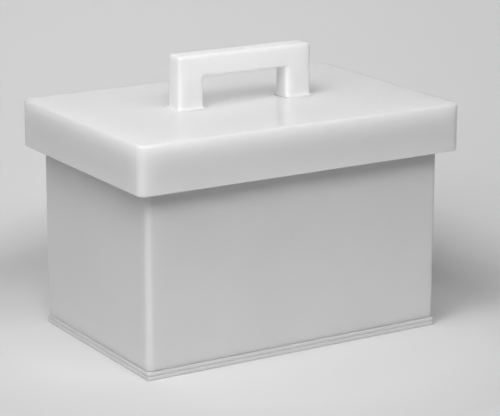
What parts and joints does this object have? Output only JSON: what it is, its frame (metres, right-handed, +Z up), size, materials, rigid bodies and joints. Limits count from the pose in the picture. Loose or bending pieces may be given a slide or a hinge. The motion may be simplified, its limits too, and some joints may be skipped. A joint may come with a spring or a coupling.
{
  "type": "insulated storage box",
  "caption": "Rectangular insulated storage box in translucent white plastic, with a thick overhanging lift-off lid, a square bar handle and a layered base.",
  "frame": {"origin": "middle of the underside of the foot plate, on the surface the box stands on", "axes": "+Z up; +X along the long side, to the right of a person who faces the front; the front long side faces -Y"},
  "size_m": [0.3048, 0.2064, 0.2404],
  "materials": {
    "body_plastic": "satin, slightly translucent",
    "lid_plastic": "smooth, slightly translucent",
    "handle_plastic": "smooth, slightly translucent",
    "liner_plastic": "smooth",
    "foam_board": "fine closed cells",
    "gasket_foam": "soft closed-cell strip",
    "insert_brass": "turned",
    "screw_steel": "stainless"
  },
  "bodies": {
    "box": {"base_foot_plate": "body_plastic", "base_plate": "body_plastic", "outer_shell": "body_plastic", "insulation_floor": "foam_board", "insulation_front": "foam_board", "insulation_back": "foam_board", "insulation_left": "foam_board", "insulation_right": "foam_board", "liner_tub": "liner_plastic", "rim_frame": "body_plastic"},
    "lid": {"lid_shell": "lid_plastic", "lid_pan": "liner_plastic", "lid_insulation": "foam_board", "gasket_front": "gasket_foam", "gasket_back": "gasket_foam", "gasket_left": "gasket_foam", "gasket_right": "gasket_foam", "handle": "handle_plastic", "handle_inserts": "insert_brass", "handle_washers": "screw_steel", "handle_screws": "screw_steel"}
  },
  "joints": [
    {"name": "lid_lift", "type": "slide", "parent": "box", "child": "lid", "axis": [0, 0, 1], "range_m": [0, 0.15]}
  ]
}
